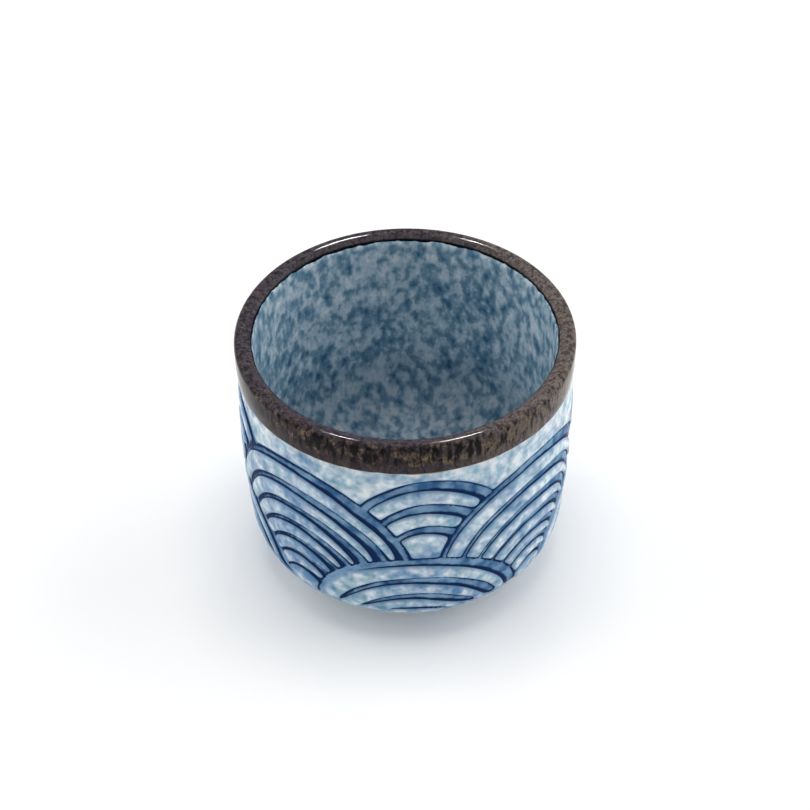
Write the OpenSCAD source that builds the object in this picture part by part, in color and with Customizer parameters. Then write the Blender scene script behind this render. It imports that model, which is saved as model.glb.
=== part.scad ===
// Guinomi: a small stoneware sake cup with a glazed rim and a relief of overlapping waves.
// The origin is under the middle of the foot ring, +Z is up and the front faces -Y. Millimetres.

/* [Cup] */
// Height from the foot to the crest of the lip
cup_h = 50.1; // [48:0.1:56]
// Widest diameter of the belly
belly_d = 60.1; // [58:0.1:64]
// Radius of the rounded hip, where the side turns under
hip_r = 9.6; // [8:0.1:11]
// Diameter of the hollow inside
inside_d = 53.2; // [51:0.1:54]
// Radius between the inner wall and the floor
inside_hip_r = 12; // [8:0.5:14]
// Height of the floor inside
floor_z = 7.2; // [6.5:0.1:9]

/* [Lip] */
// Diameter across the brown band
rim_d = 60; // [59.6:0.1:61]
// Height of the band's lower edge above the foot
band_z = 44; // [43:0.1:45]
// Radius of the lip's outer shoulder, which is tighter than its inner one
lip_outer_r = 1.2; // [1:0.1:1.6]
// How far the brown glaze runs down inside the lip
lip_inside_drop = 1.2; // [0.8:0.1:1.6]

/* [Foot] */
// Diameter of the foot ring where it stands
foot_d = 32.4; // [28:0.1:34]
// Width of the foot ring where it stands
foot_w = 2.6; // [2:0.1:4]
// Height of the belly's underside above the foot
base_z = 2.75; // [2.5:0.05:3.5]
// Depth of the hollow inside the foot ring
foot_hollow = 2.3; // [1.8:0.1:2.5]

/* [Coats] */
// Height of the raised bands above the wash in the channels
relief_h = 0.45; // [0.3:0.05:0.6]
// Thickness of the cobalt wash
wash_t = 0.15; // [0.1:0.05:0.3]
// Thickness of the lining inside
lining_t = 0.4; // [0.3:0.05:0.6]
// Thickness of the glaze under the foot
underfoot_t = 0.3; // [0.2:0.05:0.4]

/* [Waves] */
// Waves in each of the three rows
waves = 4; // [3:1:6]
// Angle by which the pattern is turned from the front
pattern_turn = 6; // [-20:1:20]
// Width of a carved channel at a wave's crest
channel_w = 1.8; // [1.4:0.1:2.2]
// Distance from the brown band to the upper fans' crests
upper_crest = 1.9; // [1.6:0.1:2.4]
// Distance from the brown band to the middle waves' crests
middle_crest = 4.3; // [3.8:0.1:4.8]
// Distance from the brown band to the lower waves' crests
lower_crest = 20.4; // [19.6:0.1:21]
// Distance from the brown band to the plain coat under the hip, where the carving ends
carving_end = 37.4; // [36.6:0.1:38]

/* [Hidden] */
$fn = 256;
clay = "#b9a58c";
pale = "#cfdde3";
cobalt = "#4a5f98";
lining = "#4f7f9c";
brown = "#4a403c";
far = 100;
coat_t = relief_h + wash_t;

// The side arc's centre lies arc_run inward and arc_rise above the hip arc's centre. The three
// lengths are the sides of a right triangle, so the two arcs always meet smoothly.
arc_run = 180;
arc_rise = 19;
arc_gap = 181;
side_r = hip_r + arc_gap;
hip_x = belly_d / 2 - side_r + arc_run;
hip_z = base_z + hip_r;
side_x = hip_x - arc_run;
side_z = hip_z + arc_rise;

// Tilt of the surface's normal at the brown band and where the side meets the hip, and the
// distance down the surface between the two
band_tilt = asin((band_z - side_z) / side_r);
hip_tilt = -asin(arc_rise / arc_gap);
hip_start = side_r * (band_tilt - hip_tilt) * PI / 180;

// The lip's crest lies near its outer face. The clay's own lip is domed midway between crest and lining.
lip_x = rim_d / 2 - lip_outer_r;
lip_z = cup_h - lip_outer_r;
lip_inner_r = lip_x - inside_d / 2;
mouth_z = cup_h - lip_inner_r;
inner_edge_z = cup_h - lip_inside_drop;
clay_lip_r = 0.55;
clay_lip_x = (lip_x + inside_d / 2 + lining_t) / 2;

foot_taper = 0.6;
foot_chamfer = 0.4;
foot_r = foot_d / 2 + foot_chamfer;
foot_root_r = foot_r + foot_taper;
hollow_r = foot_d / 2 - foot_w - foot_chamfer;
bare_edge = 0.4;
glaze_stop_r = foot_root_r + bare_edge;

// A row of waves: [turn of its first wave, crest, half width in degrees, height, reach, pitch, closing,
// bands]. A wave is a set of like half ellipses that shrink towards a point below its crest by the reach.
// The rings lie a pitch apart at the crest and close up further in. A row lies in front of the one above.
row_step = 360 / waves;
mm_per_degree = PI / 180 * belly_d / 2;
upper_share = 0.314;
middle_share = 0.458;
lower_share = 0.447;
upper_row = [pattern_turn, upper_crest, upper_share * row_step, 14.5, 22.4, 5.3, 0.004, 2];
middle_row = [pattern_turn + row_step / 2, middle_crest, middle_share * row_step, 22, 35, 5.57, 0.0115, 6];
lower_row = [pattern_turn, lower_crest, lower_share * row_step, 19.5, 29, 5.7, 0.0185, 3];

// Length over which a band's end is rounded off, the cross-sections along it, and the width kept at the tip
end_round = 1.1;
end_stations = [0.5, 0.85, 1];
tip_share = 0.3;
// How far a band's wall leans in between its seat and its top, and the most of its width that it may take
wall_slope = 0.25;
most_lean = 0.3;
// Share of a core's width that is kept clear of the waves beside it
core_share = 0.97;
// Flat facets on a round wall dip below it by less than this, so the seats are lifted by as much, and
// the bands stop as far short of the plain coat
seat_gap = 0.03;
bands_end = carving_end - seat_gap;
// Distance between a band's cross-sections, and the angle between the plain field's
station_mm = 2.4;
field_steps = 120;

function crest(row) = row[1];
function half_width(row) = row[2];
function height(row) = row[3];
function reach(row) = row[4];
function pitch(row) = row[5];
function closing(row) = row[6];
function bands(row) = row[7];

// Size of the ellipse at a band's outer edge and at its inner edge, as a share of the whole wave's
function ring_drop(row, ring) = (sqrt(1 + 4 * closing(row) * pitch(row) * ring) - 1) / (2 * closing(row));
function outer_size(row, ring) = 1 - (ring_drop(row, ring) + channel_w) / reach(row);
function inner_size(row, ring) = 1 - ring_drop(row, ring + 1) / reach(row);

// A place on the cup: angle from the front, distance down from the brown band, height off the surface
function tilt(down) = down < hip_start ? band_tilt - down / side_r * 180 / PI
                                       : hip_tilt - (down - hip_start) / hip_r * 180 / PI;
function spot(angle, down, lift) =
    let (on_side = down < hip_start,
         out = (on_side ? side_r : hip_r) + lift,
         r = (on_side ? side_x : hip_x) + out * cos(tilt(down)),
         z = (on_side ? side_z : hip_z) + out * sin(tilt(down)))
    [r * sin(angle), -r * cos(angle), z];

// A point on one of a wave's ellipses, as [angle from the wave's middle, distance down]
function on_ring(row, size, turn) = [half_width(row) * size * sin(turn), ring_down(row, size, cos(turn))];
function ring_down(row, size, rise) =
    crest(row) + reach(row) - size * (reach(row) - height(row) + height(row) * rise);

// How far down a wave's outline lies at an angle from its middle
function outline(row, size, angle) =
    let (share = angle / (half_width(row) * size))
    abs(share) < 1 ? ring_down(row, size, sqrt(1 - share * share)) : far;

// Where the waves in front begin, at an angle from the middle of a wave of this row
function front(row, angle) =
    row == lower_row ? bands_end :
    row == middle_row ? min(bands_end, side_waves(lower_row, angle)) :
    min(outline(lower_row, 1, angle), side_waves(middle_row, angle));
function side_waves(row, angle) = outline(row, 1, abs(angle) - row_step / 2);

// The turn at which an ellipse runs under the waves in front, by halving
function ring_end(row, size, low = 0, high = 90, steps = 24) =
    steps == 0 ? low :
    let (mid = (low + high) / 2, at = on_ring(row, size, mid))
    at[1] < front(row, at[0]) ? ring_end(row, size, mid, high, steps - 1)
                              : ring_end(row, size, low, mid, steps - 1);

// A closed solid through like cross-sections, each going round by its seat and back by its top
module loft(sections, closed = false) {
    n = len(sections);
    m = len(sections[0]);
    last = m * (n - 1);
    points = [for (s = sections) each s];
    walls = [for (i = [0 : closed ? n - 1 : n - 2], k = [0 : m - 1])
             let (a = m * i, b = m * ((i + 1) % n), next = (k + 1) % m)
             each [[a + k, a + next, b + next], [a + k, b + next, b + k]]];
    ends = closed ? [] : [for (k = [0 : m / 2 - 2])
             let (far_k = m - 1 - k)
             each [[k, far_k, far_k - 1], [k, far_k - 1, k + 1],
                   [last + k, last + far_k - 1, last + far_k], [last + k, last + k + 1, last + far_k - 1]]];
    polyhedron(points, concat(walls, ends));
}

// A cross-section between two places: wide at its seat on the wash, a little narrower on top
function section(turn, high, low) =
    let (lean = min(most_lean, wall_slope / max(apart(high, low), seat_gap)))
    [for (share = [0, 0.5, 1]) raised(turn, high + (low - high) * share, seat_gap - relief_h),
     for (share = [1 - lean, 0.5, lean]) raised(turn, high + (low - high) * share, 0)];
function apart(a, b) = norm([(b[0] - a[0]) * mm_per_degree, b[1] - a[1]]);
function raised(turn, place, lift) = spot(turn + place[0], place[1], lift);

// One raised band of a wave, between two of its ellipses. Its ends are rounded off, except in the lower
// row, whose bands run out flush into the plain coat.
module band(row, ring, turn) {
    outer = outer_size(row, ring);
    inner = inner_size(row, ring);
    outer_end = ring_end(row, outer);
    inner_end = ring_end(row, inner);
    half_length = apart(on_ring(row, outer, 0), on_ring(row, outer, outer_end));
    straight = 1 - min(0.5, end_round / half_length);
    half_steps = ceil(half_length * straight / station_mm);
    right = row == lower_row ? [for (i = [0 : half_steps]) i / half_steps] :
            [for (i = [0 : half_steps]) straight * i / half_steps,
             for (share = end_stations) straight + (1 - straight) * share];
    left = [for (i = [len(right) - 1 : -1 : 1]) -right[i]];
    loft([for (along = concat(left, right))
          let (a = on_ring(row, outer, along * outer_end),
               b = on_ring(row, inner, along * inner_end),
               past = row == lower_row ? 0 : max(0, (abs(along) - straight) / (1 - straight)),
               keep = max(tip_share, sqrt(1 - past * past)),
               mid = (a + b) / 2)
          section(turn, mid + (a - mid) * keep, mid + (b - mid) * keep)]);
}

// The pale core of a wave, from its innermost channel down to the waves in front
module core(row, turn) {
    size = outer_size(row, bands(row));
    span = on_ring(row, size, ring_end(row, size))[0] * core_share;
    half_steps = ceil(span * mm_per_degree / station_mm) + 2;
    loft([for (i = [-half_steps : half_steps])
          let (angle = span * sin(90 * i / half_steps))
          section(turn, [angle, outline(row, size, angle)], [angle, front(row, angle)])]);
}

// A row's waves: every band of every wave, and the cores
module wave_row(row) {
    for (wave = [0 : waves - 1]) {
        turn = row[0] + wave * row_step;
        for (ring = [0 : bands(row) - 1]) band(row, ring, turn);
        core(row, turn);
    }
}

// Half outline of the cup's outside, sunk below the glazed surface
module outside(sink) {
    meet_z = hip_z + (hip_r - sink) * sin(hip_tilt);
    intersection() {
        translate([side_x, side_z]) circle(r = side_r - sink);
        translate([0, meet_z]) square([far, cup_h - meet_z]);
    }
    intersection() {
        translate([hip_x, hip_z]) circle(r = hip_r - sink);
        translate([hip_x, 0]) square([far, meet_z]);
    }
    translate([0, base_z + sink]) square([hip_x, meet_z - base_z - sink]);
}

// Half outline of the hollow, swollen into the wall. Its mouth opens out along the inside of the lip.
module hollow(swell) {
    turn_x = inside_d / 2 - inside_hip_r;
    turn_z = floor_z + inside_hip_r;
    difference() {
        translate([0, mouth_z]) square([lip_x, far]);
        translate([lip_x, mouth_z]) circle(r = lip_inner_r - swell);
    }
    translate([0, turn_z]) square([inside_d / 2 + swell, mouth_z - turn_z]);
    intersection() {
        translate([turn_x, turn_z]) circle(r = inside_hip_r + swell);
        translate([turn_x, 0]) square([far, turn_z]);
    }
    translate([0, floor_z - swell]) square([turn_x, inside_hip_r + swell]);
}

// Half outline of the lip, before the clay and the lining are taken out of it
module lip() {
    translate([lip_x, band_z]) square([lip_outer_r, lip_z - band_z]);
    intersection() {
        translate([lip_x, lip_z]) circle(r = lip_outer_r);
        translate([lip_x, lip_z]) square(lip_outer_r);
    }
    intersection() {
        translate([lip_x, mouth_z]) circle(r = lip_inner_r);
        translate([lip_x - lip_inner_r, mouth_z]) square(lip_inner_r);
    }
}

// Half outline of the clay wall and floor, with a domed lip under the brown glaze
module clay_outline() {
    difference() {
        intersection() {
            outside(coat_t);
            union() {
                square([far, lip_z]);
                translate([clay_lip_x, lip_z]) circle(r = clay_lip_r);
            }
        }
        hollow(lining_t);
    }
}

// Half outline of the lining, which ends under the brown glaze
module lining_outline() {
    intersection() {
        difference() {
            hollow(lining_t);
            hollow(0);
        }
        square([lip_x, inner_edge_z]);
    }
}

// Half outline of the turned foot ring, with broken edges where it stands
module foot_outline() {
    polygon([[hollow_r - foot_taper, base_z + coat_t], [hollow_r, foot_chamfer],
             [hollow_r + foot_chamfer, 0], [foot_d / 2, 0], [foot_r, foot_chamfer],
             [foot_root_r, base_z + coat_t]]);
}

module clay_body() {
    color(clay) rotate_extrude() {
        difference() {
            union() {
                clay_outline();
                foot_outline();
                square([hollow_r, base_z + coat_t]);
            }
            square([hollow_r, foot_hollow + underfoot_t]);
        }
    }
}

// Half outline of all that lies under the end of the carving, which is cut square to the surface
module under_carving() {
    translate([hip_x, hip_z]) rotate(tilt(carving_end)) translate([0, -far]) square(far);
}

// The wash lies on the clay from the brown band to the end of the carving
module cobalt_wash() {
    color(cobalt) rotate_extrude()
        difference() {
            outside(relief_h);
            outside(coat_t);
            under_carving();
            square([hip_x, far]);
            translate([0, band_z]) square(far);
        }
}

module lower_wave_bands() {
    color(pale) wave_row(lower_row);
}

module middle_wave_bands() {
    color(pale) wave_row(middle_row);
}

module upper_wave_bands() {
    color(pale) wave_row(upper_row);
}

// The plain field, cut to the outlines of the waves below it
module shoulder_glaze() {
    color(pale) loft([for (i = [0 : field_steps - 1])
        let (angle = 360 * i / field_steps,
             fan = (angle + row_step / 2) % row_step - row_step / 2,
             low = min(outline(upper_row, 1, fan), side_waves(middle_row, fan)))
        section(pattern_turn, [angle, seat_gap], [angle, low])], closed = true);
}

// The coat below the carving, wiped back from the foot ring
module belly_glaze() {
    color(pale) rotate_extrude()
        intersection() {
            difference() {
                outside(0);
                outside(coat_t);
            }
            union() {
                under_carving();
                square([hip_x, hip_z]);
            }
            translate([glaze_stop_r, 0]) square(far);
        }
}

module inside_glaze() {
    color(lining) rotate_extrude() lining_outline();
}

module rim_glaze() {
    color(brown) rotate_extrude()
        difference() {
            lip();
            clay_outline();
            lining_outline();
        }
}

module underfoot_glaze() {
    color(pale) translate([0, 0, foot_hollow]) cylinder(r = hollow_r - foot_taper, h = underfoot_t);
}

clay_body();
cobalt_wash();
lower_wave_bands();
middle_wave_bands();
upper_wave_bands();
shoulder_glaze();
belly_glaze();
inside_glaze();
rim_glaze();
underfoot_glaze();
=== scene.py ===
import math

import bmesh
import bpy
from mathutils import Matrix, Vector, noise


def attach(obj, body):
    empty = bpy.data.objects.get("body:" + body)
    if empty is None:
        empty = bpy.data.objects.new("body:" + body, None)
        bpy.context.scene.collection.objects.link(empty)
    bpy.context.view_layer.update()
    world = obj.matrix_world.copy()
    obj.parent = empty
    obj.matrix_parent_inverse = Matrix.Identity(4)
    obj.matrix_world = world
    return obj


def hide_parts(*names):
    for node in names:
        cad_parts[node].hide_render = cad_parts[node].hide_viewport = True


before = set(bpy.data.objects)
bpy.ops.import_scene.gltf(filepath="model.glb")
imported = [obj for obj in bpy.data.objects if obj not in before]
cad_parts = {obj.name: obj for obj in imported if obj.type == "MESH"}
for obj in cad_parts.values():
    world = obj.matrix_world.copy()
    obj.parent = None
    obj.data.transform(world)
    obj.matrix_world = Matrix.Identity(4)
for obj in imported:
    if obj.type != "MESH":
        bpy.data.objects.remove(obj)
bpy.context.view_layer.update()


# Clay body: the thrown stoneware wall and floor with the turned foot ring, all one lump of clay.
# Everything but the foot ring is coated. The ring stays bare, or it would stick to the kiln shelf.

MM = 0.001
side_r, side_x, side_z = 190.6, -160.55, 31.35
hip_r, hip_x, hip_z = 9.6, 19.45, 12.35
hip_tilt = -math.degrees(math.asin(19 / 181))
coat_t = 0.6
inside_r, inside_hip_r, floor_z = 26.6, 12, 7.2
lining_t = 0.4


def arc(x, z, radius, start, end, steps):
    """Points along an arc of a half outline, in degrees from straight outwards."""
    turns = [math.radians(start + (end - start) * k / steps) for k in range(steps + 1)]
    return [(x + radius * math.cos(t), z + radius * math.sin(t)) for t in turns]


def softened(corners, steps=6):
    """A half outline through corners given as (radius, height, rounding)."""
    line = []
    for i, (r, z, rounding) in enumerate(corners):
        here = Vector((r, z))
        if not rounding:
            line.append((r, z))
            continue
        back = (Vector(corners[i - 1][:2]) - here).normalized()
        on = (Vector(corners[(i + 1) % len(corners)][:2]) - here).normalized()
        half = back.angle(on) / 2
        middle = here + (back + on).normalized() * rounding / math.sin(half)
        first = (here + back * rounding / math.tan(half) - middle).normalized()
        last = (here + on * rounding / math.tan(half) - middle).normalized()
        line += [tuple(middle + first.slerp(last, k / steps) * rounding) for k in range(steps + 1)]
    return line


def turned(name, outline, columns=288, shape=None):
    """A closed piece turned from a half outline that ends on the axis or runs round in a ring."""
    poles = [p for p in outline if p[0] == 0]
    ring = [p for p in outline if p[0] > 0]
    rows = len(ring)
    points = []
    for j in range(columns):
        angle = math.tau * j / columns
        for r, z in ring:
            if shape:
                r, z = shape(angle, r, z)
            points.append((r * math.sin(angle) * MM, -r * math.cos(angle) * MM, z * MM))
    faces = []
    for j in range(columns):
        here, there = j * rows, (j + 1) % columns * rows
        for i in range(rows - 1 if poles else rows):
            up = (i + 1) % rows
            faces.append((here + i, there + i, there + up, here + up))
    for z, i in zip([p[1] for p in poles], (0, rows - 1)):
        for j in range(columns):
            faces.append((len(points), j * rows + i, (j + 1) % columns * rows + i))
        points.append((0, 0, z * MM))
    mesh = bpy.data.meshes.new(name)
    mesh.from_pydata(points, [], faces)
    work = bmesh.new()
    work.from_mesh(mesh)
    bmesh.ops.recalc_face_normals(work, faces=work.faces)
    work.to_mesh(mesh)
    work.free()
    mesh.shade_smooth()
    piece = bpy.data.objects.new(name, mesh)
    bpy.context.scene.collection.objects.link(piece)
    return piece


def srgb(code):
    """A colour such as #8090a0 as the linear numbers that the shader works in."""
    parts = [int(code[i:i + 2], 16) / 255 for i in (1, 3, 5)]
    return [p / 12.92 if p <= 0.04045 else ((p + 0.055) / 1.055) ** 2.4 for p in parts] + [1]


def add(tree, kind, *inputs, out=0, **settings):
    """Adds a node with its settings, feeds its inputs in order and gives back one output."""
    node = tree.nodes.new(kind)
    for key, value in settings.items():
        setattr(node, key, value)
    for socket, value in zip([s for s in node.inputs if s.enabled], inputs):
        if isinstance(value, bpy.types.NodeSocket):
            tree.links.new(value, socket)
        elif value is not None:
            socket.default_value = value
    outputs = [s for s in node.outputs if s.enabled]
    return outputs[out] if outputs else node


def new_finish(name, **constants):
    """A new material, its tree and its shader's inputs, with constants set on the shader itself."""
    material = bpy.data.materials.new(name)
    material.use_nodes = True
    sockets = material.node_tree.nodes["Principled BSDF"].inputs
    for key, value in constants.items():
        sockets[key.replace("_", " ")].default_value = value
    return material, material.node_tree, sockets


# Fired stoneware, left as the turning tool cut it: dry and sandy, without shine, with darker grit and
# fine rings from the wheel.
stoneware, tree, shader = new_finish("fired_stoneware", Roughness=0.8, IOR=1.5)
place = add(tree, "ShaderNodeTexCoord", out=3)
sand = add(tree, "ShaderNodeTexNoise", place, 1 / (0.5 * MM), 3)
patch = add(tree, "ShaderNodeTexNoise", place, 1 / (5 * MM), 2)
grit = add(tree, "ShaderNodeMapRange", sand, 0.62, 0.7, interpolation_type="SMOOTHSTEP")
toast = add(tree, "ShaderNodeMapRange", patch, 0.4, 0.62, interpolation_type="SMOOTHSTEP")
colour = add(tree, "ShaderNodeMix", toast, srgb("#c9b79d"), srgb("#b09472"), data_type="RGBA")
colour = add(tree, "ShaderNodeMix", grit, colour, srgb("#7d6448"), data_type="RGBA")
rings = add(tree, "ShaderNodeTexWave", place, 1 / (9 * MM), 0.8, 2, 1.5,
            wave_type="RINGS", rings_direction="Z")
surface = add(tree, "ShaderNodeMath", sand, 0.5, rings, operation="MULTIPLY_ADD")
tree.links.new(colour, shader["Base Color"])
tree.links.new(add(tree, "ShaderNodeBump", 0.4, 0.05 * MM, None, surface), shader["Normal"])

wall_top_tilt = 5.1
foot_ring = softened([(0, 2.6, 0), (12.7, 2.6, 0.5), (13.25, 0, 0.4), (16.5, 0, 0.4),
                      (17.3, 3.35, 0.6), (hip_x, 3.35, 0)])
wall = (arc(hip_x, hip_z, hip_r - coat_t, -90, hip_tilt, 24)
        + arc(side_x, side_z, side_r - coat_t, hip_tilt, wall_top_tilt, 24)[1:])
lip_core = softened([(28.7, 48.24, 0), (28.45, 49.45, 0.5), (27.35, 49.45, 0.5),
                     (inside_r + lining_t, 47.9, 0)])[1:]
hollow = arc(inside_r - inside_hip_r, floor_z + inside_hip_r, inside_hip_r + lining_t, 0, -90, 20)
clay_body = turned("clay_body_turned", foot_ring + wall[1:] + lip_core + hollow
                   + [(0, floor_z - lining_t)])
clay_body.data.materials.append(stoneware)
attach(clay_body, "root")
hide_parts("clay_body")


# Cobalt wash: blue slip brushed into every carved channel, with darker lines along both edges where
# it pooled. It is fired under the clear glaze, and it lies on the clay below the raised waves.

belly_r = 30.05
half_wide = 30 * MM
mm_per_degree = math.radians(belly_r)
band_z = 44
band_tilt = math.asin((band_z - side_z) / side_r)
hip_start = side_r * (band_tilt - math.radians(hip_tilt))
hip_run = hip_r * (math.radians(hip_tilt) + math.pi / 2)

# A place on the cup, from the angle round it in degrees, and the distance down from the brown band
# and the height off the glazed surface in millimetres
on_cup = bpy.data.node_groups.new("place_on_the_cup", "GeometryNodeTree")
on_cup.interface.new_socket("Place", in_out="OUTPUT", socket_type="NodeSocketVector")
for name in ("Angle", "Down", "Lift"):
    on_cup.interface.new_socket(name, in_out="INPUT", socket_type="NodeSocketFloat")
at = {s.name: s for s in on_cup.nodes.new("NodeGroupInput").outputs}
for name, operation, *terms in (
        ("side", "MINIMUM", "Down", hip_start),
        ("side_tilt", "MULTIPLY_ADD", "side", -1 / side_r, band_tilt),
        ("past_side", "SUBTRACT", "Down", hip_start),
        ("past_side", "MAXIMUM", "past_side", 0.0),
        ("hip", "MINIMUM", "past_side", hip_run),
        ("tilt", "MULTIPLY_ADD", "hip", -1 / hip_r, "side_tilt"),
        ("flat", "SUBTRACT", "past_side", "hip"),
        ("reach", "ADD", "Lift", hip_r),
        ("side_cos", "COSINE", "side_tilt"),
        ("side_sin", "SINE", "side_tilt"),
        ("tilt_cos", "COSINE", "tilt"),
        ("tilt_sin", "SINE", "tilt"),
        ("out", "MULTIPLY_ADD", "side_cos", side_r - hip_r, side_x),
        ("out", "SUBTRACT", "out", "flat"),
        ("out", "MULTIPLY_ADD", "tilt_cos", "reach", "out"),
        ("out", "MULTIPLY", "out", MM),
        ("high", "MULTIPLY_ADD", "side_sin", side_r - hip_r, side_z),
        ("high", "MULTIPLY_ADD", "tilt_sin", "reach", "high"),
        ("high", "MULTIPLY", "high", MM),
        ("turn", "RADIANS", "Angle"),
        ("turn_sin", "SINE", "turn"),
        ("turn_cos", "COSINE", "turn"),
        ("x", "MULTIPLY", "turn_sin", "out"),
        ("y", "MULTIPLY", "turn_cos", "out"),
        ("y", "MULTIPLY", "y", -1.0)):
    at[name] = add(on_cup, "ShaderNodeMath", *[at.get(t, t) for t in terms], operation=operation)
add(on_cup, "NodeGroupOutput", add(on_cup, "ShaderNodeCombineXYZ", at["x"], at["y"], at["high"]))

# One row of waves. Each wave is a set of like ellipses that shrink towards one point, with a carved channel
# at the outer side of every ring and a raised band on the rest of it. Depth is how far a place lies inside
# the wave, Band and Core how far inside a raised band or the innermost field, and Ink how far inside a
# painted line, in millimetres. Right grows to 1 on a right flank, and Bare falls to -1 on the left flank of
# the outermost ring. The gouge was held askew, so channels are wider on the right, and the cobalt lies
# thickest at the inner side of a right flank and the outer side of a left one.
channel_thinning = 0.14
healed_w, fade_run = 1.6, 3.5
elsewhere = 100.0
thin_line, thick_inner, thick_outer, faint_inner, faint_outer = 0.36, 0.66, 0.28, 0.3, 0.15
wave_row = bpy.data.node_groups.new("row_of_waves", "GeometryNodeTree")
for name in ("Depth", "Band", "Core", "Ink", "Right", "Bare"):
    wave_row.interface.new_socket(name, in_out="OUTPUT", socket_type="NodeSocketFloat")
for name in ("Angle", "Down", "Crest", "Half Width", "Height", "Reach", "Pitch", "Closing", "Bands",
             "Channel", "Askew", "End"):
    wave_row.interface.new_socket(name, in_out="INPUT", socket_type="NodeSocketFloat")
at = {s.name: s for s in wave_row.nodes.new("NodeGroupInput").outputs}
for name, operation, *terms in (
        ("across", "MULTIPLY", "Angle", mm_per_degree),
        ("across", "DIVIDE", "across", "Half Width"),
        ("up", "ADD", "Crest", "Reach"),
        ("up", "SUBTRACT", "up", "Down"),
        ("up", "DIVIDE", "up", "Height"),
        ("seat", "SUBTRACT", "Reach", "Height"),
        ("seat", "DIVIDE", "seat", "Height"),
        ("square", "MULTIPLY", "across", "across"),
        ("square", "MULTIPLY_ADD", "up", "up", "square"),
        ("linear", "MULTIPLY", "up", "seat"),
        ("rest", "MULTIPLY_ADD", "seat", "seat", -1.0),
        ("rest", "MULTIPLY", "rest", "square"),
        ("root", "MULTIPLY", "linear", "linear"),
        ("root", "SUBTRACT", "root", "rest"),
        ("root", "SQRT", "root"),
        ("root", "ADD", "root", "linear"),
        ("size", "DIVIDE", "square", "root"),
        ("size", "MAXIMUM", "size", 0.001),
        ("inside", "SUBTRACT", 1.0, "size"),
        ("inside", "MULTIPLY", "inside", "Reach"),
        ("sideways", "DIVIDE", "across", "size"),
        ("sideways", "DIVIDE", "sideways", "Half Width"),
        ("rise", "DIVIDE", "up", "size"),
        ("rise", "SUBTRACT", "rise", "seat"),
        ("spread", "MULTIPLY_ADD", "seat", "rise", 1.0),
        ("rise", "DIVIDE", "rise", "Height"),
        ("slope", "MULTIPLY", "sideways", "sideways"),
        ("slope", "MULTIPLY_ADD", "rise", "rise", "slope"),
        ("slope", "SQRT", "slope"),
        ("lean", "DIVIDE", "sideways", "slope"),
        ("slope", "MULTIPLY", "slope", "Reach"),
        ("slope", "DIVIDE", "slope", "spread"),
        ("Depth", "DIVIDE", "inside", "slope"),
        ("rings", "MULTIPLY_ADD", "inside", "Closing", 1.0),
        ("rings", "MULTIPLY", "rings", "inside"),
        ("rings", "DIVIDE", "rings", "Pitch"),
        ("ring", "FLOOR", "rings"),
        ("ring", "MAXIMUM", "ring", 0.0),
        ("ring", "MINIMUM", "ring", "Bands"),
        ("pitch", "MULTIPLY", "inside", "Closing"),
        ("pitch", "MULTIPLY_ADD", "pitch", 2.0, 1.0),
        ("pitch", "MULTIPLY", "pitch", "slope"),
        ("pitch", "DIVIDE", "Pitch", "pitch"),
        ("past", "SUBTRACT", "rings", "ring"),
        ("past", "MULTIPLY", "past", "pitch"),
        ("width", "MULTIPLY_ADD", "lean", "Askew", 1.0),
        ("width", "MULTIPLY", "width", "Channel"),
        ("width", "MULTIPLY_ADD", "ring", -channel_thinning, "width"),
        ("healed", "SUBTRACT", "Down", "End"),
        ("healed", "MULTIPLY_ADD", "healed", 1 / fade_run, 1.0),
        ("healed", "MAXIMUM", "healed", 0.0),
        ("healed", "MINIMUM", "healed", 1.0),
        ("healed", "MULTIPLY", "healed", "healed"),
        ("slack", "ADD", "width", healed_w),
        ("slack", "MULTIPLY", "slack", "healed"),
        ("slack", "MULTIPLY", "slack", 0.5),
        ("from_inner", "SUBTRACT", "past", "width"),
        ("from_inner", "ADD", "from_inner", "slack"),
        ("from_outer", "SUBTRACT", "slack", "past"),
        ("first", "LESS_THAN", "ring", 0.5),
        ("outer_band", "MULTIPLY_ADD", "first", -elsewhere, "from_outer"),
        ("band", "MAXIMUM", "from_inner", "outer_band"),
        ("to_next", "SUBTRACT", "pitch", "past"),
        ("to_next", "ADD", "to_next", "slack"),
        ("to_next", "MINIMUM", "band", "to_next"),
        ("before_last", "SUBTRACT", "Bands", 0.5),
        ("last", "GREATER_THAN", "ring", "before_last"),
        ("Band", "MULTIPLY_ADD", "last", -elsewhere, "to_next"),
        ("not_last", "SUBTRACT", 1.0, "last"),
        ("Core", "MULTIPLY_ADD", "not_last", -elsewhere, "band"),
        ("Right", "MAXIMUM", "lean", 0.0),
        ("left", "MINIMUM", "lean", 0.0),
        ("inner_line", "MULTIPLY_ADD", "Right", thick_inner, thin_line),
        ("inner_line", "MULTIPLY_ADD", "left", faint_inner, "inner_line"),
        ("inner_line", "ADD", "inner_line", "from_inner"),
        ("outer_line", "MULTIPLY_ADD", "left", -thick_outer, thin_line),
        ("outer_line", "MULTIPLY_ADD", "Right", -faint_outer, "outer_line"),
        ("outer_line", "ADD", "outer_line", "from_outer"),
        ("Ink", "MAXIMUM", "inner_line", "outer_line"),
        ("Bare", "MULTIPLY", "first", "left")):
    at[name] = add(wave_row, "ShaderNodeMath", *[at.get(t, t) for t in terms], operation=operation)
add(wave_row, "NodeGroupOutput", *[at[n] for n in ("Depth", "Band", "Core", "Ink", "Right", "Bare")])

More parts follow.
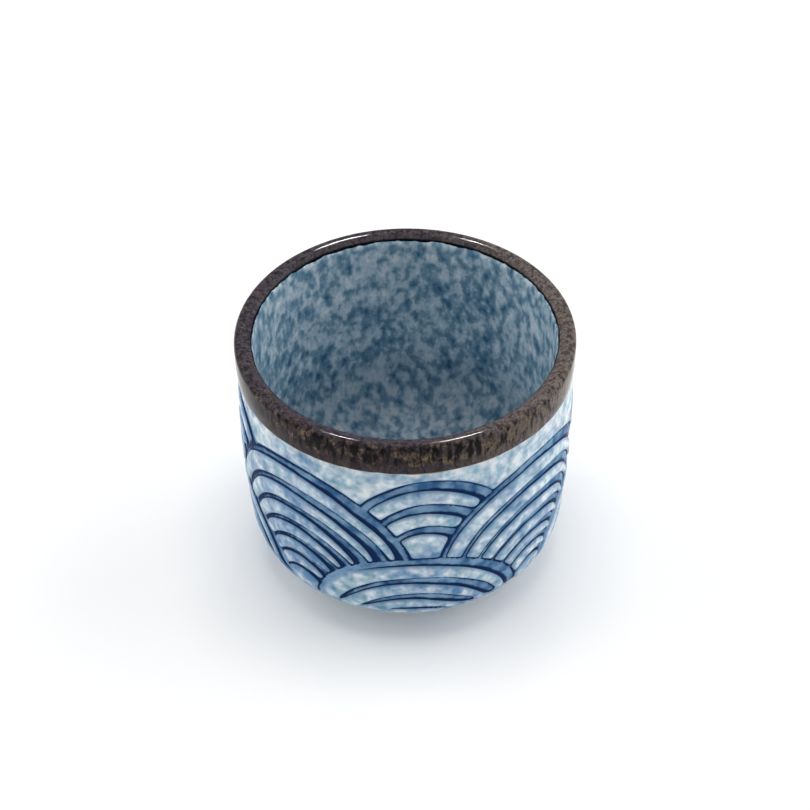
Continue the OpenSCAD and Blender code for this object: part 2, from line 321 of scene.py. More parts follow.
# The coat tree. A flat sheet, as wide as the angle round the cup and as tall as the distance down it, is
# cut to the outline of one piece, laid on the cup twice, once raised and once on the clay, and closed.
row_step = 90
upper_turn, middle_turn, lower_turn = 7.6, 5.9 + row_step / 2, 4.0
upper_waves = (1.9, 14.8, 14.5, 22.4, 5.3, 0.004, 2)
middle_waves = (4.3, 21.6, 22.0, 35.0, 5.57, 0.0115, 6)
lower_waves = (20.4, 21.1, 19.5, 29.0, 5.7, 0.0185, 3)
upper_channel, middle_channel, lower_channel = (1.95, 0.35), (1.7, 0.5), (1.65, 0.6)
belly_start, uncarved = 37.4, 100
end_rounding, fan_rounding, end_gap = 0.8, 1.6, 0.2
wedge_run, wedge_taper, wedge_ink = 5.0, 0.25, 0.15
end_line, fan_line, bare_left = 0.14, 0.6, 0.9
wall_foot, wall_run, least_height = 0.12, 0.75, 0.01
wash_margin, shy = 0.6, 0.015
cut_off, seam_angle, merge_mm, top_sharpness = 0.004, 179.99, 0.0002, 2.0
COBALT, LOWER, MIDDLE, UPPER, SHOULDER = range(5)
coat_tree = bpy.data.node_groups.new("raised_coat", "GeometryNodeTree")
coat_tree.interface.new_socket("Geometry", in_out="OUTPUT", socket_type="NodeSocketGeometry")
for name, kind in (("Piece", "Int"), ("Thickness", "Float"), ("Top", "Float"), ("Bottom", "Float"),
                   ("Cell", "Float"), ("Wobble", "Float"), ("Material", "Material")):
    coat_tree.interface.new_socket(name, in_out="INPUT", socket_type="NodeSocket" + kind)
at = {s.name: s for s in coat_tree.nodes.new("NodeGroupInput").outputs}
flat_place = add(coat_tree, "ShaderNodeSeparateXYZ", add(coat_tree, "GeometryNodeInputPosition")).node
at["angle"], at["flat_y"] = flat_place.outputs[:2]
for name, operation, *terms in (
        ("tall", "SUBTRACT", "Bottom", "Top"),
        ("rows", "DIVIDE", "tall", "Cell"),
        ("columns", "DIVIDE", 360 * mm_per_degree, "Cell"),
        ("middle_down", "ADD", "Bottom", "Top"),
        ("middle_down", "MULTIPLY", "middle_down", 0.5),
        ("down", "SUBTRACT", "middle_down", "flat_y"),
        ("turn", "RADIANS", "angle"),
        ("turn_cos", "COSINE", "turn"),
        ("turn_cos", "MULTIPLY", "turn_cos", belly_r),
        ("turn_sin", "SINE", "turn"),
        ("turn_sin", "MULTIPLY", "turn_sin", belly_r)):
    at[name] = add(coat_tree, "ShaderNodeMath", *[at.get(t, t) for t in terms], operation=operation)
# The carver's hand: the lines wander by a few tenths of a millimetre over a stretch of 14 mm, the channels
# vary in width, and the rows sit a little low and dip to one side
hand_run, least_width, width_spread = 14, 0.75, 0.5
row_drop, row_dip = 0.5, 0.6
hand = add(coat_tree, "ShaderNodeTexNoise",
           add(coat_tree, "ShaderNodeCombineXYZ", at["turn_cos"], at["turn_sin"], at["down"]),
           1 / hand_run, 1, out=1)
at["hand_x"], at["hand_y"], at["hand_w"] = add(coat_tree, "ShaderNodeSeparateXYZ", hand).node.outputs
for name, operation, *terms in (
        ("hand_x", "SUBTRACT", "hand_x", 0.5),
        ("hand_x", "MULTIPLY", "hand_x", "Wobble"),
        ("hand_angle", "MULTIPLY_ADD", "hand_x", 1 / mm_per_degree, "angle"),
        ("hand_y", "SUBTRACT", "hand_y", 0.5),
        ("hand_down", "MULTIPLY_ADD", "hand_y", "Wobble", "down"),
        ("hand_down", "MULTIPLY_ADD", "turn_sin", -row_dip / belly_r, "hand_down"),
        ("hand_down", "SUBTRACT", "hand_down", row_drop),
        ("hand_w", "MULTIPLY_ADD", "hand_w", width_spread, least_width)):
    at[name] = add(coat_tree, "ShaderNodeMath", *[at.get(t, t) for t in terms], operation=operation)
for name, turn, sizes, (channel, askew), end in (
        ("upper", upper_turn, upper_waves, upper_channel, uncarved),
        ("middle", middle_turn, middle_waves, middle_channel, uncarved),
        ("lower", lower_turn, lower_waves, lower_channel, belly_start)):
    angle = add(coat_tree, "ShaderNodeMath", at["hand_angle"], turn, operation="SUBTRACT")
    angle = add(coat_tree, "ShaderNodeMath", angle, row_step / 2, -row_step / 2, operation="WRAP")
    channel = add(coat_tree, "ShaderNodeMath", at["hand_w"], channel, operation="MULTIPLY")
    found = add(coat_tree, "GeometryNodeGroup", angle, at["hand_down"], *sizes, channel, askew, end,
                node_tree=wave_row).node.outputs
    at.update({f"{name}_{socket.name.lower()}": socket for socket in found})
for name, operation, *terms in (
        ("off_lower", "MULTIPLY_ADD", "lower_depth", -1.0, -end_gap),
        ("off_middle", "MULTIPLY_ADD", "middle_depth", -1.0, -end_gap),
        ("off_upper", "MULTIPLY", "upper_depth", -1.0),
        ("belly", "SUBTRACT", "hand_down", belly_start),
        ("lower", "MAXIMUM", "lower_band", "lower_core"),
        ("lower", "SMOOTH_MAX", "lower", "belly", end_rounding),
        ("core", "SMOOTH_MIN", "middle_core", "off_lower", end_rounding),
        ("near_lower", "MULTIPLY_ADD", "lower_depth", 1 / wedge_run, 1.0),
        ("near_lower", "MAXIMUM", "near_lower", 0.0),
        ("near_lower", "MINIMUM", "near_lower", 1.0),
        ("wedge", "MULTIPLY", "near_lower", "middle_right"),
        ("middle_ink", "MULTIPLY_ADD", "wedge", wedge_ink, "middle_ink"),
        ("middle_band", "MULTIPLY_ADD", "wedge", -wedge_taper, "middle_band"),
        ("lower", "SMOOTH_MAX", "lower", "core", end_rounding),
        ("middle", "SMOOTH_MIN", "middle_band", "off_lower", end_rounding),
        ("upper", "MAXIMUM", "upper_band", "upper_core"),
        ("fan_end", "MULTIPLY_ADD", "upper_right", fan_rounding, end_rounding),
        ("upper", "SMOOTH_MIN", "upper", "off_middle", "fan_end"),
        ("upper", "SMOOTH_MIN", "upper", "off_lower", end_rounding),
        ("fan_line", "MULTIPLY_ADD", "upper_right", fan_line, end_line),
        ("fan_line", "ADD", "fan_line", "upper"),
        ("shoulder", "SMOOTH_MIN", "off_upper", "off_middle", end_rounding),
        ("shoulder", "MINIMUM", "shoulder", "off_lower"),
        ("raised", "MAXIMUM", "lower", "middle"),
        ("raised", "MAXIMUM", "raised", "upper"),
        ("raised", "MAXIMUM", "raised", "shoulder"),
        ("cobalt", "SUBTRACT", wash_margin, "raised"),
        ("edge_line", "ADD", "raised", end_line),
        ("edge_line", "MAXIMUM", "edge_line", "fan_line"),
        ("in_middle", "GREATER_THAN", "middle_depth", 0.0),
        ("in_lower", "GREATER_THAN", "lower_depth", 0.0),
        ("bare", "MULTIPLY", "lower_bare", "in_lower")):
    at[name] = add(coat_tree, "ShaderNodeMath", *[at.get(t, t) for t in terms], operation=operation)
ink = add(coat_tree, "ShaderNodeMix", at["in_middle"], at["upper_ink"], at["middle_ink"])
ink = add(coat_tree, "ShaderNodeMix", at["in_lower"], ink, at["lower_ink"])
ink = add(coat_tree, "ShaderNodeMath", ink, at["edge_line"], operation="MAXIMUM")
ink = add(coat_tree, "ShaderNodeMath", at["bare"], bare_left, ink, operation="MULTIPLY_ADD")
choice = coat_tree.nodes.new("GeometryNodeIndexSwitch")
choice.data_type = "FLOAT"
while len(choice.index_switch_items) < 5:
    choice.index_switch_items.new()
for socket, value in zip(choice.inputs, [at[n] for n in ("Piece", "cobalt", "lower", "middle", "upper",
                                                         "shoulder")]):
    coat_tree.links.new(value, socket)
at["edge"] = choice.outputs[0]
# A coat comes down to the clay along its border, which is where an edge of the cut sheet has one face. The
# sides of the sheet meet at the back of the cup and stay as they are.
one_face = add(coat_tree, "ShaderNodeMath", add(coat_tree, "GeometryNodeInputMeshEdgeNeighbors"), 1.5,
               operation="LESS_THAN")
at["border"] = add(coat_tree, "GeometryNodeFieldOnDomain", one_face, data_type="FLOAT", domain="EDGE")
for name, operation, *terms in (
        ("wall", "ADD", "edge", wall_foot),
        ("cut_away", "LESS_THAN", "wall", cut_off),
        ("border", "GREATER_THAN", "border", 0.0),
        ("side", "ABSOLUTE", "angle"),
        ("side", "GREATER_THAN", "side", seam_angle),
        ("not_side", "SUBTRACT", 1.0, "side"),
        ("border", "MULTIPLY", "border", "not_side"),
        ("border", "MULTIPLY_ADD", "side", "cut_away", "border"),
        ("wall", "DIVIDE", "wall", wall_run),
        ("wall", "MINIMUM", "wall", 1.0),
        ("wall", "MAXIMUM", "wall", 0.0),
        ("short", "SUBTRACT", 1.0, "wall"),
        ("short", "MULTIPLY", "short", "short"),
        ("height", "SUBTRACT", 1.0, "short"),
        ("height", "MAXIMUM", "height", least_height),
        ("kept", "SUBTRACT", 1.0, "border"),
        ("height", "MULTIPLY", "height", "kept"),
        ("to_top", "SUBTRACT", "down", "Top"),
        ("to_top", "MULTIPLY", "to_top", top_sharpness),
        ("to_end", "SUBTRACT", "Bottom", "down"),
        ("to_end", "MINIMUM", "to_end", "to_top"),
        ("to_end", "MINIMUM", "to_end", 1.0),
        ("to_end", "MAXIMUM", "to_end", 0.0),
        ("to_end", "SQRT", "to_end"),
        ("height", "MULTIPLY", "height", "to_end"),
        ("height", "MULTIPLY", "height", "Thickness"),
        ("lift", "SUBTRACT", "height", coat_t)):
    at[name] = add(coat_tree, "ShaderNodeMath", *[at.get(t, t) for t in terms], operation=operation)
flat = add(coat_tree, "GeometryNodeMeshGrid", 360.0, at["tall"], at["columns"], at["rows"])
flat = add(coat_tree, "GeometryNodeStoreNamedAttribute", flat, None, "edge_mm", at["edge"])
flat = add(coat_tree, "GeometryNodeStoreNamedAttribute", flat, None, "ink_mm", ink)
unwanted = add(coat_tree, "GeometryNodeFieldOnDomain", at["cut_away"], data_type="BOOLEAN", domain="POINT")
flat = add(coat_tree, "GeometryNodeDeleteGeometry", flat, unwanted, domain="FACE")
top = add(coat_tree, "GeometryNodeSetPosition", flat, None,
          add(coat_tree, "GeometryNodeGroup", at["angle"], at["down"], at["lift"], node_tree=on_cup))
seat = add(coat_tree, "GeometryNodeSetPosition", flat, None,
           add(coat_tree, "GeometryNodeGroup", at["angle"], at["down"], -coat_t, node_tree=on_cup))
seat = add(coat_tree, "GeometryNodeFlipFaces", seat)
both = coat_tree.nodes.new("GeometryNodeJoinGeometry")
coat_tree.links.new(top, both.inputs[0])
coat_tree.links.new(seat, both.inputs[0])
closed = add(coat_tree, "GeometryNodeMergeByDistance", both.outputs[0], None, merge_mm * MM)
closed = add(coat_tree, "GeometryNodeSetShadeSmooth", closed)
closed = add(coat_tree, "GeometryNodeRealizeInstances", closed)
closed = add(coat_tree, "GeometryNodeSetMaterial", closed, None, at["Material"])
add(coat_tree, "NodeGroupOutput", closed)


def laid_coat(name, material, **sizes):
    """One coat piece from the coat tree, as a plain mesh."""
    piece = bpy.data.objects.new(name, bpy.data.meshes.new(name))
    bpy.context.scene.collection.objects.link(piece)
    layer = piece.modifiers.new("coat", "NODES")
    layer.node_group = coat_tree
    for socket in coat_tree.interface.items_tree:
        if socket.in_out == "INPUT":
            layer[socket.identifier] = {**sizes, "Material": material}[socket.name]
    graph = bpy.context.evaluated_depsgraph_get()
    mesh = bpy.data.meshes.new_from_object(piece.evaluated_get(graph), depsgraph=graph)
    mesh.name = name
    piece.modifiers.clear()
    piece.data = mesh
    return piece


# Cobalt slip, thinly glazed over in the depth of the channels: violet blue where it is thin, nearly black
# along the edges of a channel, where the brush left most of it, and with hardly any shine. The lines are
# ragged, and grow fainter towards the right.
cobalt_wash, tree, shader = new_finish("cobalt_slip_under_glaze", Roughness=0.25, IOR=1.5,
                                       Specular_IOR_Level=0.003)
place = add(tree, "ShaderNodeTexCoord", out=3)
ink = add(tree, "ShaderNodeAttribute", attribute_name="ink_mm", out=2)
cloud = add(tree, "ShaderNodeTexNoise", place, 1 / (3 * MM), 3)
streak = add(tree, "ShaderNodeTexNoise", place, 1 / (1.1 * MM), 2)
thin = add(tree, "ShaderNodeMapRange", cloud, 0.36, 0.62)
press = add(tree, "ShaderNodeTexNoise", place, 1 / (5 * MM), 1)
press = add(tree, "ShaderNodeMapRange", press, 0.35, 0.62, 0.24, 0)
colour = add(tree, "ShaderNodeMix", thin, srgb("#3b6694"), srgb("#80a5c6"), data_type="RGBA")
ragged = add(tree, "ShaderNodeMath", streak, 0.5, -0.29, operation="MULTIPLY_ADD")
ragged = add(tree, "ShaderNodeMath", ragged, ink, operation="ADD")
ragged = add(tree, "ShaderNodeMath", ragged, press, operation="SUBTRACT")
right = add(tree, "ShaderNodeSeparateXYZ", place)
ragged = add(tree, "ShaderNodeMath", right, -0.16 / half_wide, ragged, operation="MULTIPLY_ADD")
line = add(tree, "ShaderNodeMapRange", ragged, -0.3, 0.14, interpolation_type="SMOOTHSTEP")
colour = add(tree, "ShaderNodeMix", line, colour, srgb("#183058"), data_type="RGBA")
tree.links.new(colour, shader["Base Color"])
tree.links.new(add(tree, "ShaderNodeBump", 0.3, 0.04 * MM, None, cloud), shader["Normal"])

wobble = 1.2
wash = laid_coat("cobalt_wash_in_channels", cobalt_wash, Piece=COBALT, Thickness=0.15, Top=0.3,
                 Bottom=40.2, Cell=0.35, Wobble=wobble)
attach(wash, "root")
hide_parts("cobalt_wash")


# Lower waves and belly: the front row of raised waves, whose bands run out into the plain coat under the
# hip. It is thick pale glaze, left standing between the carved channels and wiped back from the foot.

# Crackle-free pale gloss glaze over white slip, dabbed with a sponge of teal: milky white, with soft
# blue-green blots and a blue tint where it runs thin over the edge of a channel. The foot of that edge is
# painted like the channel, and as dull. The blots crowd towards the left and lower down, partly as sponged
# and partly as painted shade.
pale_glaze, tree, shader = new_finish("pale_gloss_glaze", IOR=1.52)
place = add(tree, "ShaderNodeTexCoord", out=3)
edge = add(tree, "ShaderNodeAttribute", attribute_name="edge_mm", out=2)
ink = add(tree, "ShaderNodeAttribute", attribute_name="ink_mm", out=2)
blot = add(tree, "ShaderNodeTexNoise", place, 1 / (2.6 * MM), 2, 0.5)
zone = add(tree, "ShaderNodeTexNoise", place, 1 / (13 * MM), 1)
mist = add(tree, "ShaderNodeTexNoise", place, 1 / (1.5 * MM), 2, 0.5)
blue = add(tree, "ShaderNodeMapRange", mist, 0.36, 0.7)
right, _, high = add(tree, "ShaderNodeSeparateXYZ", place).node.outputs
dabs_and_painted_shade = add(tree, "ShaderNodeMath", zone, 0.4, operation="MULTIPLY")
dabs_and_painted_shade = add(tree, "ShaderNodeMath", blot, 1.2, dabs_and_painted_shade, operation="MULTIPLY_ADD")
# Partly painted shade: more blots to the left and lower down the cup.
dabs_and_painted_shade = add(tree, "ShaderNodeMath", right, -0.08 / half_wide, dabs_and_painted_shade, operation="MULTIPLY_ADD")
dabs_and_painted_shade = add(tree, "ShaderNodeMath", high, -0.17 / (band_z * MM), dabs_and_painted_shade, operation="MULTIPLY_ADD")
dab = add(tree, "ShaderNodeMapRange", dabs_and_painted_shade, 0.53, 0.99, 0, 1.0)
colour = add(tree, "ShaderNodeMix", blue, srgb("#eaf2f7"), srgb("#92bdd6"), data_type="RGBA")
hue = add(tree, "ShaderNodeMapRange", zone, 0.42, 0.6, interpolation_type="SMOOTHSTEP")
sponge = add(tree, "ShaderNodeMix", hue, srgb("#3f88a3"), srgb("#3f7cae"), data_type="RGBA")
colour = add(tree, "ShaderNodeMix", dab, colour, sponge, data_type="RGBA")
tint = add(tree, "ShaderNodeMapRange", edge, 0.9, 0.1, 0, 0.7, interpolation_type="SMOOTHSTEP")
colour = add(tree, "ShaderNodeMix", tint, colour, srgb("#5a89b6"), data_type="RGBA")
line = add(tree, "ShaderNodeMapRange", edge, 0.2, 0.06, interpolation_type="SMOOTHSTEP")
inked = add(tree, "ShaderNodeMapRange", ink, -0.3, 0.05, interpolation_type="SMOOTHSTEP")
line = add(tree, "ShaderNodeMath", line, inked, operation="MULTIPLY")
colour = add(tree, "ShaderNodeMix", line, colour, srgb("#183058"), data_type="RGBA")
tree.links.new(colour, shader["Base Color"])
sheen = add(tree, "ShaderNodeMapRange", line, 0, 1, 0.5, 0.003)
tree.links.new(sheen, shader["Specular IOR Level"])
gloss = add(tree, "ShaderNodeMapRange", mist, 0.3, 0.7, 0.14, 0.26)
tree.links.new(gloss, shader["Roughness"])
tree.links.new(add(tree, "ShaderNodeBump", 0.3, 0.05 * MM, None, blot), shader["Normal"])

lower_coat = laid_coat("lower_waves_and_belly", pale_glaze, Piece=LOWER, Thickness=coat_t - shy, Top=19.0,
                       Bottom=48.6, Cell=0.3, Wobble=wobble)
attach(lower_coat, "root")
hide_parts("lower_wave_bands", "belly_glaze")


# Middle waves: the tall row behind the front one, six raised bands and a core to a wave. Their bands end
# where they meet the border of a front wave.

middle_coat = laid_coat("middle_waves", pale_glaze, Piece=MIDDLE, Thickness=coat_t - shy, Top=3.5,
                        Bottom=38.2, Cell=0.27, Wobble=wobble)
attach(middle_coat, "root")
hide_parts("middle_wave_bands")


# Upper fans: the parts of the top row of waves that show between the middle ones, two bands and a core
# to a fan.

upper_coat = laid_coat("upper_fans", pale_glaze, Piece=UPPER, Thickness=coat_t - shy, Top=1.0,
                       Bottom=24.2, Cell=0.25, Wobble=wobble)
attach(upper_coat, "root")
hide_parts("upper_wave_bands")


# Shoulder coat: the plain pale field between the waves and the brown rim, which laps over its top edge.

shoulder_coat = laid_coat("shoulder_coat", pale_glaze, Piece=SHOULDER, Thickness=coat_t - shy, Top=-1.4,
                          Bottom=15.2, Cell=0.27, Wobble=wobble)
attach(shoulder_coat, "root")
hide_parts("shoulder_glaze")


# Inside glaze: the speckled blue lining, poured in, swirled round and poured out again. It covers the
# wall and the floor and ends under the brown rim.

lip_x, lip_z, lip_outer_r = 28.8, 48.9, 1.2
mouth_z, lip_inner_r, lining_end = 47.9, 2.2, 132
floor_x, turn_z = inside_r - inside_hip_r, floor_z + inside_hip_r
lining = turned("speckled_lining", (
    [(0, floor_z - lining_t)]
    + arc(floor_x, turn_z, inside_hip_r + lining_t, -90, 0, 20)
    + arc(lip_x, mouth_z, lip_inner_r - lining_t, 180, lining_end, 8)
    + arc(lip_x, mouth_z, lip_inner_r, lining_end, 180, 8)
    + arc(floor_x, turn_z, inside_hip_r, 0, -90, 20)
    + [(0, floor_z)]))

# Blue gloss glaze that broke into spots as it melted: dark blue spots of 1 to 3 mm on a grey-blue
# ground, drawn out a little down the wall, and greyer towards the floor, which is painted shade deep in the
# cup.
speckled_glaze, tree, shader = new_finish("speckled_blue_glaze", Roughness=0.3, IOR=1.52,
                                          Specular_IOR_Level=0.2)
place = add(tree, "ShaderNodeTexCoord", out=3)
drawn = add(tree, "ShaderNodeMapping", place, None, None, (1, 1, 0.7))
spot = add(tree, "ShaderNodeTexNoise", drawn, 1 / (1.9 * MM), 2, 0.5)
fleck = add(tree, "ShaderNodeTexNoise", drawn, 1 / (1.1 * MM), 1)
zone = add(tree, "ShaderNodeTexNoise", place, 1 / (9 * MM), 1)
both = add(tree, "ShaderNodeMath", fleck, 0.35, spot, operation="MULTIPLY_ADD")
both = add(tree, "ShaderNodeMath", zone, 0.25, both, operation="MULTIPLY_ADD")
ground = add(tree, "ShaderNodeMapRange", both, 0.56, 0.84)
dark = add(tree, "ShaderNodeMapRange", both, 0.76, 1.05)
colour = add(tree, "ShaderNodeMix", ground, srgb("#e4edf2"), srgb("#9fbdcd"), data_type="RGBA")
colour = add(tree, "ShaderNodeMix", dark, colour, srgb("#316588"), data_type="RGBA")
# Painted shade: the colour greys towards the floor of the cup, deep inside it.
deep = add(tree, "ShaderNodeSeparateXYZ", place, out=2)
painted_floor_shade = add(tree, "ShaderNodeMapRange", deep, 28 * MM, 8 * MM, interpolation_type="SMOOTHSTEP")
colour = add(tree, "ShaderNodeMix", painted_floor_shade, colour, srgb("#c0bfc2"), data_type="RGBA", blend_type="MULTIPLY")
grain = add(tree, "ShaderNodeTexNoise", drawn, 1 / (0.5 * MM), 2)
grain = add(tree, "ShaderNodeMapRange", grain, 0.4, 0.7, 0, 0.3)
colour = add(tree, "ShaderNodeMix", grain, colour, srgb("#4f7f9c"), data_type="RGBA")
tree.links.new(colour, shader["Base Color"])
tree.links.new(add(tree, "ShaderNodeBump", 0.25, 0.05 * MM, None, spot), shader["Normal"])
lining.data.materials.append(speckled_glaze)
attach(lining, "root")
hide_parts("inside_glaze")


# Rim glaze: the iron-brown coat that saddles the lip, where the fired cup was dipped upside down. It is
# thick, with a wandering lower edge outside and a ragged one inside.

rim_r, rim_drop, tooth_mm = 30.0, 0.25, 0.28
wander_r, drip_h = 4.0, 2.0
rag_start, rag_run = 105, 35


def run_down(angle, r, z):
    """Moves the rim's outer edge up and down and its inner edge round the lip, as the glaze ran."""
    along = Vector((math.cos(angle), math.sin(angle), 0)) * wander_r
    if z < lip_z and r > lip_x:
        share = max(0, 1 - (z - band_z) / drip_h)
        return r, z + share * rim_drop * (noise.noise(along) + 0.4 * noise.noise(along * 4))
    from_centre = Vector((r - lip_x, z - mouth_z))
    turn = math.atan2(from_centre.y, from_centre.x)
    share = max(0, min(1, (math.degrees(turn) - rag_start) / rag_run))
    tooth = noise.noise(along * 3) + 0.5 * noise.noise(along * 8)
    turn += share * tooth_mm * tooth / lip_inner_r
    return lip_x + from_centre.length * math.cos(turn), mouth_z + from_centre.length * math.sin(turn)


inner_edge = [arc(lip_x, mouth_z, reach, turn, turn, 1)[0] for turn, reach in (
    (130, 2.23), (140, 2.26), (147, 2.26), (151, 2.24), (153.5, 2.17), (152, 2.1), (138, 1.98), (116, 1.78))]
rim = turned("brown_rim", softened([
    (29.15, 43.75, 0), (29.88, 43.82, 0.35), (rim_r, 46.4, 0)], 5)
    + arc(lip_x, lip_z, lip_outer_r, 0, 90, 14)
    + arc(lip_x, mouth_z, lip_inner_r, 90, 122, 8)[1:]
    + inner_edge + [(28.5, 49.3), (28.75, 48.6), (29.1, 46)], 720, run_down)

# Iron glaze, run and cooled slowly: near black with brown, olive and violet mottling, drawn down in
# short streaks, more olive to the right, honey brown where it thins at its lower edge, and smooth. Its
# crest, inner slope and lower band carry a calmer grey violet of painted reflection, its right side painted
# light, and the inside of the lip a near-black line of painted dark reflection.
iron_glaze, tree, shader = new_finish("iron_brown_glaze", IOR=1.5, Specular_IOR_Level=0.08)
place = add(tree, "ShaderNodeTexCoord", out=3)
run = add(tree, "ShaderNodeMapping", place, None, None, (1, 1, 0.3))
from_axis = add(tree, "ShaderNodeMapping", place, None, None, (1, 1, 0))
from_axis = add(tree, "ShaderNodeVectorMath", from_axis, operation="LENGTH")
right, _, high = add(tree, "ShaderNodeSeparateXYZ", place).node.outputs
mottle = add(tree, "ShaderNodeTexNoise", run, 1 / (1.0 * MM), 3, 0.6)
tan = add(tree, "ShaderNodeTexNoise", place, 1 / (1.8 * MM), 3, 0.6)
tan = add(tree, "ShaderNodeMath", right, 0.05 / half_wide, tan, operation="MULTIPLY_ADD")
grain = add(tree, "ShaderNodeTexNoise", place, 1 / (0.45 * MM), 2)
# Painted reflection: the crest, the inside slope of the lip and the lower band are calmer and greyer violet.
painted_low_reflection = add(tree, "ShaderNodeMapRange", high, 46.6 * MM, 45.2 * MM, interpolation_type="SMOOTHSTEP")
painted_crest_reflection = add(tree, "ShaderNodeMapRange", high, 49.2 * MM, 50.2 * MM)
inner = add(tree, "ShaderNodeMapRange", from_axis, 29.2 * MM, 28.0 * MM, interpolation_type="SMOOTHSTEP")
painted_crest_reflection = add(tree, "ShaderNodeMath", painted_crest_reflection, inner, operation="MAXIMUM")
painted_reflection_zones = add(tree, "ShaderNodeMath", painted_crest_reflection, painted_low_reflection, operation="MAXIMUM")
olive = add(tree, "ShaderNodeMapRange", tan, 0.48, 0.66)
spread = add(tree, "ShaderNodeMapRange", painted_reflection_zones, 0, 1, 1, 0.2)
olive = add(tree, "ShaderNodeMath", olive, spread, operation="MULTIPLY")
black = add(tree, "ShaderNodeMapRange", mottle, 0.53, 0.42)
spread = add(tree, "ShaderNodeMapRange", painted_reflection_zones, 0, 1, 1, 0.5)
black = add(tree, "ShaderNodeMath", black, spread, operation="MULTIPLY")
colour = add(tree, "ShaderNodeMix", painted_low_reflection, srgb("#3f3438"), srgb("#41373e"), data_type="RGBA")
colour = add(tree, "ShaderNodeMix", painted_crest_reflection, colour, srgb("#504952"), data_type="RGBA")
# Painted light: the rim is lighter towards its right side.
painted_light_right = add(tree, "ShaderNodeMapRange", right, 0, 26 * MM, 0, 0.6, interpolation_type="SMOOTHSTEP")
colour = add(tree, "ShaderNodeMix", painted_light_right, colour, srgb("#877c76"), data_type="RGBA")
colour = add(tree, "ShaderNodeMix", olive, colour, srgb("#7b6a54"), data_type="RGBA")
colour = add(tree, "ShaderNodeMix", black, colour, srgb("#050304"), data_type="RGBA")
fine = add(tree, "ShaderNodeMapRange", grain, 0.35, 0.65, 0.5, 0)
colour = add(tree, "ShaderNodeMix", fine, colour, srgb("#0d090a"), data_type="RGBA")
# Painted dark reflection: a near-black line along the inside of the lip.
painted_dark_line_inside_lip = add(tree, "ShaderNodeMapRange", from_axis, 27.2 * MM, 26.95 * MM, interpolation_type="SMOOTHSTEP")
colour = add(tree, "ShaderNodeMix", painted_dark_line_inside_lip, colour, srgb("#050304"), data_type="RGBA")
thin = add(tree, "ShaderNodeMapRange", high, 44.2 * MM, 43.9 * MM, interpolation_type="SMOOTHSTEP")
colour = add(tree, "ShaderNodeMix", thin, colour, srgb("#b08a62"), data_type="RGBA")
tree.links.new(colour, shader["Base Color"])
gloss = add(tree, "ShaderNodeMapRange", mottle, 0.35, 0.7, 0.06, 0.12)
tree.links.new(gloss, shader["Roughness"])
tree.links.new(add(tree, "ShaderNodeBump", 0.15, 0.04 * MM, None, mottle), shader["Normal"])
rim.data.materials.append(iron_glaze)
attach(rim, "root")
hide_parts("rim_glaze")


# Underfoot glaze: the pale coat left in the hollow of the foot ring, with its edge drawn up a little
# against the ring.

underfoot = turned("underfoot_coat", softened([
    (0, 2.62, 0), (12.68, 2.62, 0), (12.82, 2.1, 0.05), (12.3, 2.3, 0.4), (0, 2.3, 0)]), 192)
# The glaze is plain all over here, far from any edge or painted line
for name, depth in (("edge_mm", 2.0), ("ink_mm", -2.0)):
    underfoot.data.attributes.new(name, "FLOAT", "POINT").data.foreach_set(
        "value", [depth] * len(underfoot.data.vertices))
underfoot.data.materials.append(pale_glaze)
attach(underfoot, "root")
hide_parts("underfoot_glaze")


# Table: a sheet of white paper under the cup, which takes the cup's soft shadow. To the camera and in
# reflections it glows as well, a little near the cup and fully far from it, so that the ground is white.

near, far, near_glow, table_half = 0.15, 0.7, 0.1, 3.0
paper, tree, shader = new_finish("white_paper", Roughness=0.9)
shader["Base Color"].default_value = srgb("#fcfcfc")
seen = add(tree, "ShaderNodeLightPath")
rays = seen.node.outputs
glow = add(tree, "ShaderNodeEmission", srgb("#ffffff"), 1.0)
for kind in ("Is Glossy Ray", "Is Transmission Ray"):
    seen = add(tree, "ShaderNodeMath", seen, rays[kind], operation="MAXIMUM")
away = add(tree, "ShaderNodeVectorMath", add(tree, "ShaderNodeTexCoord", out=3), operation="LENGTH")
share = add(tree, "ShaderNodeMapRange", away, near, far, near_glow, 1, interpolation_type="SMOOTHSTEP")
share = add(tree, "ShaderNodeMath", seen, share, operation="MULTIPLY")
mixed = add(tree, "ShaderNodeMixShader", share, tree.nodes["Principled BSDF"].outputs[0], glow)
tree.links.new(mixed, tree.nodes["Material Output"].inputs[0])
mesh = bpy.data.meshes.new("table")
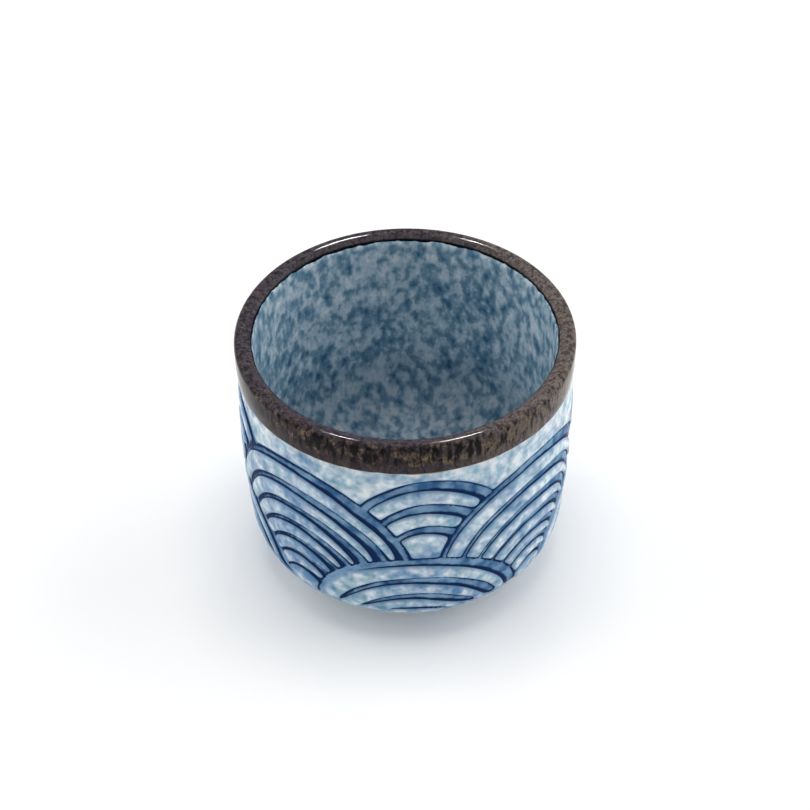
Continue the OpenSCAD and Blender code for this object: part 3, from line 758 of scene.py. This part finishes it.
mesh.from_pydata([(x * table_half, y * table_half, 0) for x, y in ((-1, -1), (1, -1), (1, 1), (-1, 1))],
                 [], [(0, 1, 2, 3)])
table = bpy.data.objects.new("table", mesh)
table.data.materials.append(paper)
bpy.context.scene.collection.objects.link(table)


# Light: a softbox overhead and a large panel at each side, in a dim white room. Two small lamps behind the
# cup put the streaks on its lip and light nothing else, and the softbox is kept out of reflections.

aim = Vector((0, 0, 0.03))
world = bpy.data.worlds.new("tent")
world.use_nodes = True
world.node_tree.nodes["Background"].inputs["Color"].default_value = srgb("#ffffff")
world.node_tree.nodes["Background"].inputs["Strength"].default_value = 0.4
bpy.context.scene.world = world
for name, size, energy, spot in (("softbox", 0.6, 4.2, (0.0, 0.05, 1.0)),
                                 ("wing_left", 1.0, 3.3, (-0.8, 0.2, 0.55)),
                                 ("wing_right", 1.0, 4.5, (0.8, 0.2, 0.55)),
                                 ("lamp_left", 0.06, 4.5, (-0.137, 0.33, 0.80)),
                                 ("lamp_right", 0.09, 8.0, (0.1, 0.37, 0.78))):
    lamp = bpy.data.lights.new(name, "AREA")
    lamp.shape = "DISK"
    lamp.size = size
    lamp.energy = energy
    stand = bpy.data.objects.new(name, lamp)
    stand.location = spot
    stand.visible_glossy = name != "softbox"
    stand.visible_diffuse = not name.startswith("lamp")
    stand.rotation_euler = (aim - stand.location).to_track_quat("-Z", "Y").to_euler()
    bpy.context.scene.collection.objects.link(stand)


# Camera: from in front and above, 360 mm from the middle of the cup.

view_down, view_far, view_z, view_roll = math.radians(42.434), 0.36, 0.032328, math.radians(-0.669)
camera = bpy.data.objects.new("camera", bpy.data.cameras.new("camera"))
camera.data.sensor_width = 36
camera.data.lens = 88.42
camera.data.shift_x = -0.819 / 810
camera.data.clip_start = 0.01
camera.matrix_world = (
    Matrix.Translation((0, -view_far * math.cos(view_down), view_z + view_far * math.sin(view_down)))
    @ Matrix.Rotation(math.pi / 2 - view_down, 4, "X") @ Matrix.Rotation(view_roll, 4, "Z"))
bpy.context.scene.collection.objects.link(camera)
bpy.context.scene.camera = camera
bpy.context.scene.view_settings.view_transform = "Standard"
